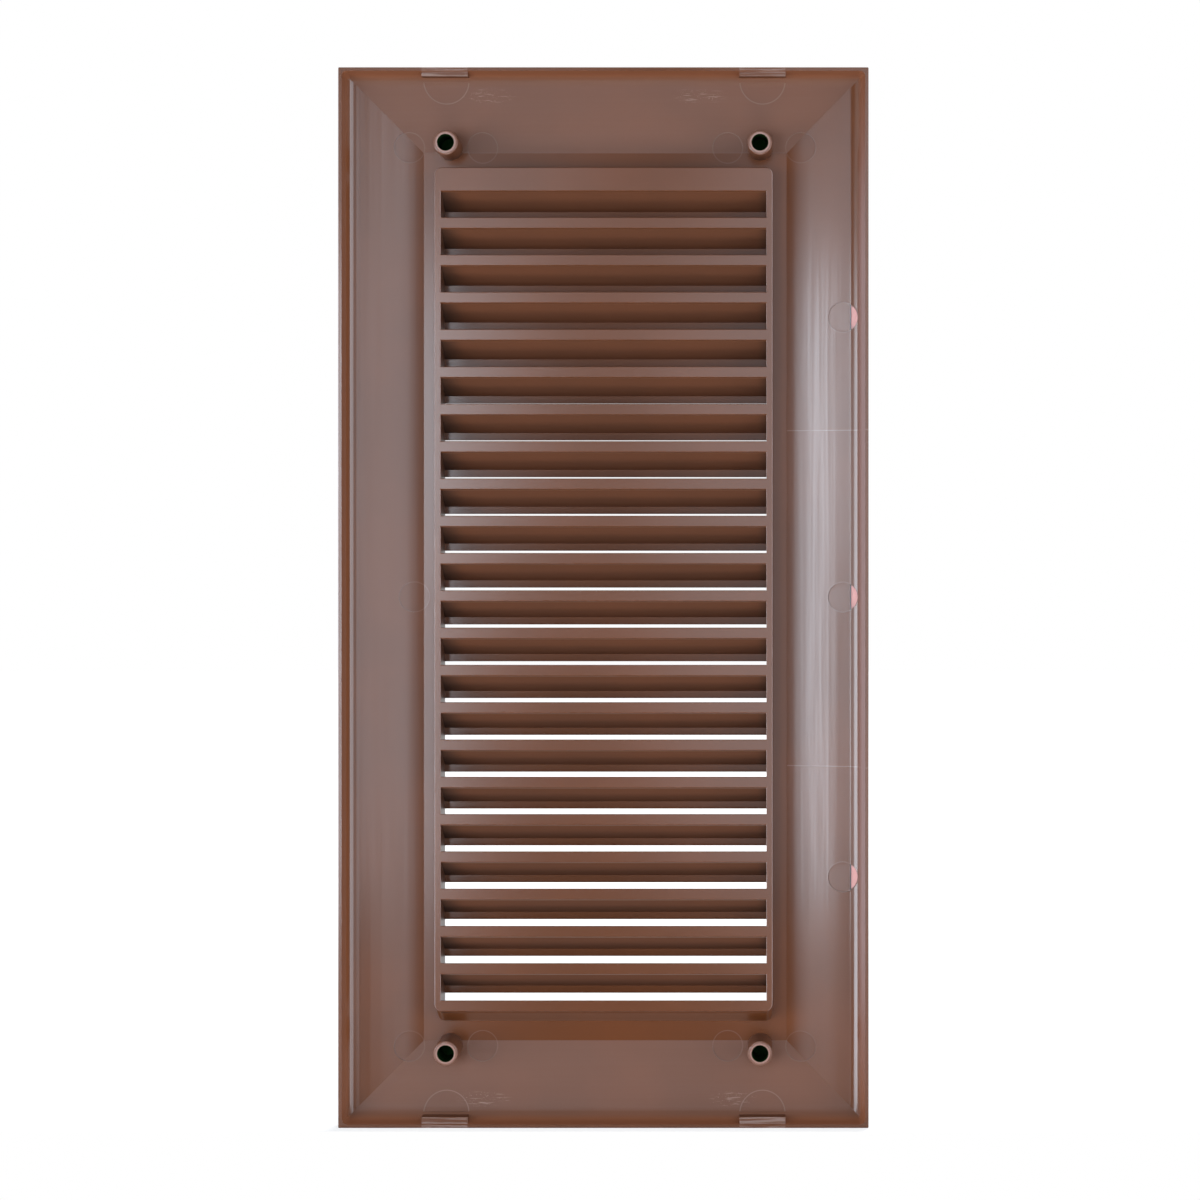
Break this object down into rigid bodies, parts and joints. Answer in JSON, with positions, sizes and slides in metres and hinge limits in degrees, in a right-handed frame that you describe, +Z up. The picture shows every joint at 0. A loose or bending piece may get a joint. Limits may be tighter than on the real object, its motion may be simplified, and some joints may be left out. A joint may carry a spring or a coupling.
{
  "type": "louvred vent",
  "caption": "Rectangular louvred wall vent moulded in one piece: a dished frame with a thin rim, a raised collar of sloping lipped slats, and blind screw bosses behind.",
  "frame": {"origin": "centre of the four screw bosses in the plane of the rim, which lies on the wall", "axes": "+Z up the wall, +Y out of the back towards the wall, front of the louvres towards -Y"},
  "size_m": [0.1524, 0.0135, 0.3048],
  "materials": {
    "brown_plastic": "semi-gloss moulded plastic, with flow marks and fine handling scratches"
  },
  "bodies": {
    "root": {"vent_moulding": "brown_plastic"}
  },
  "joints": []
}
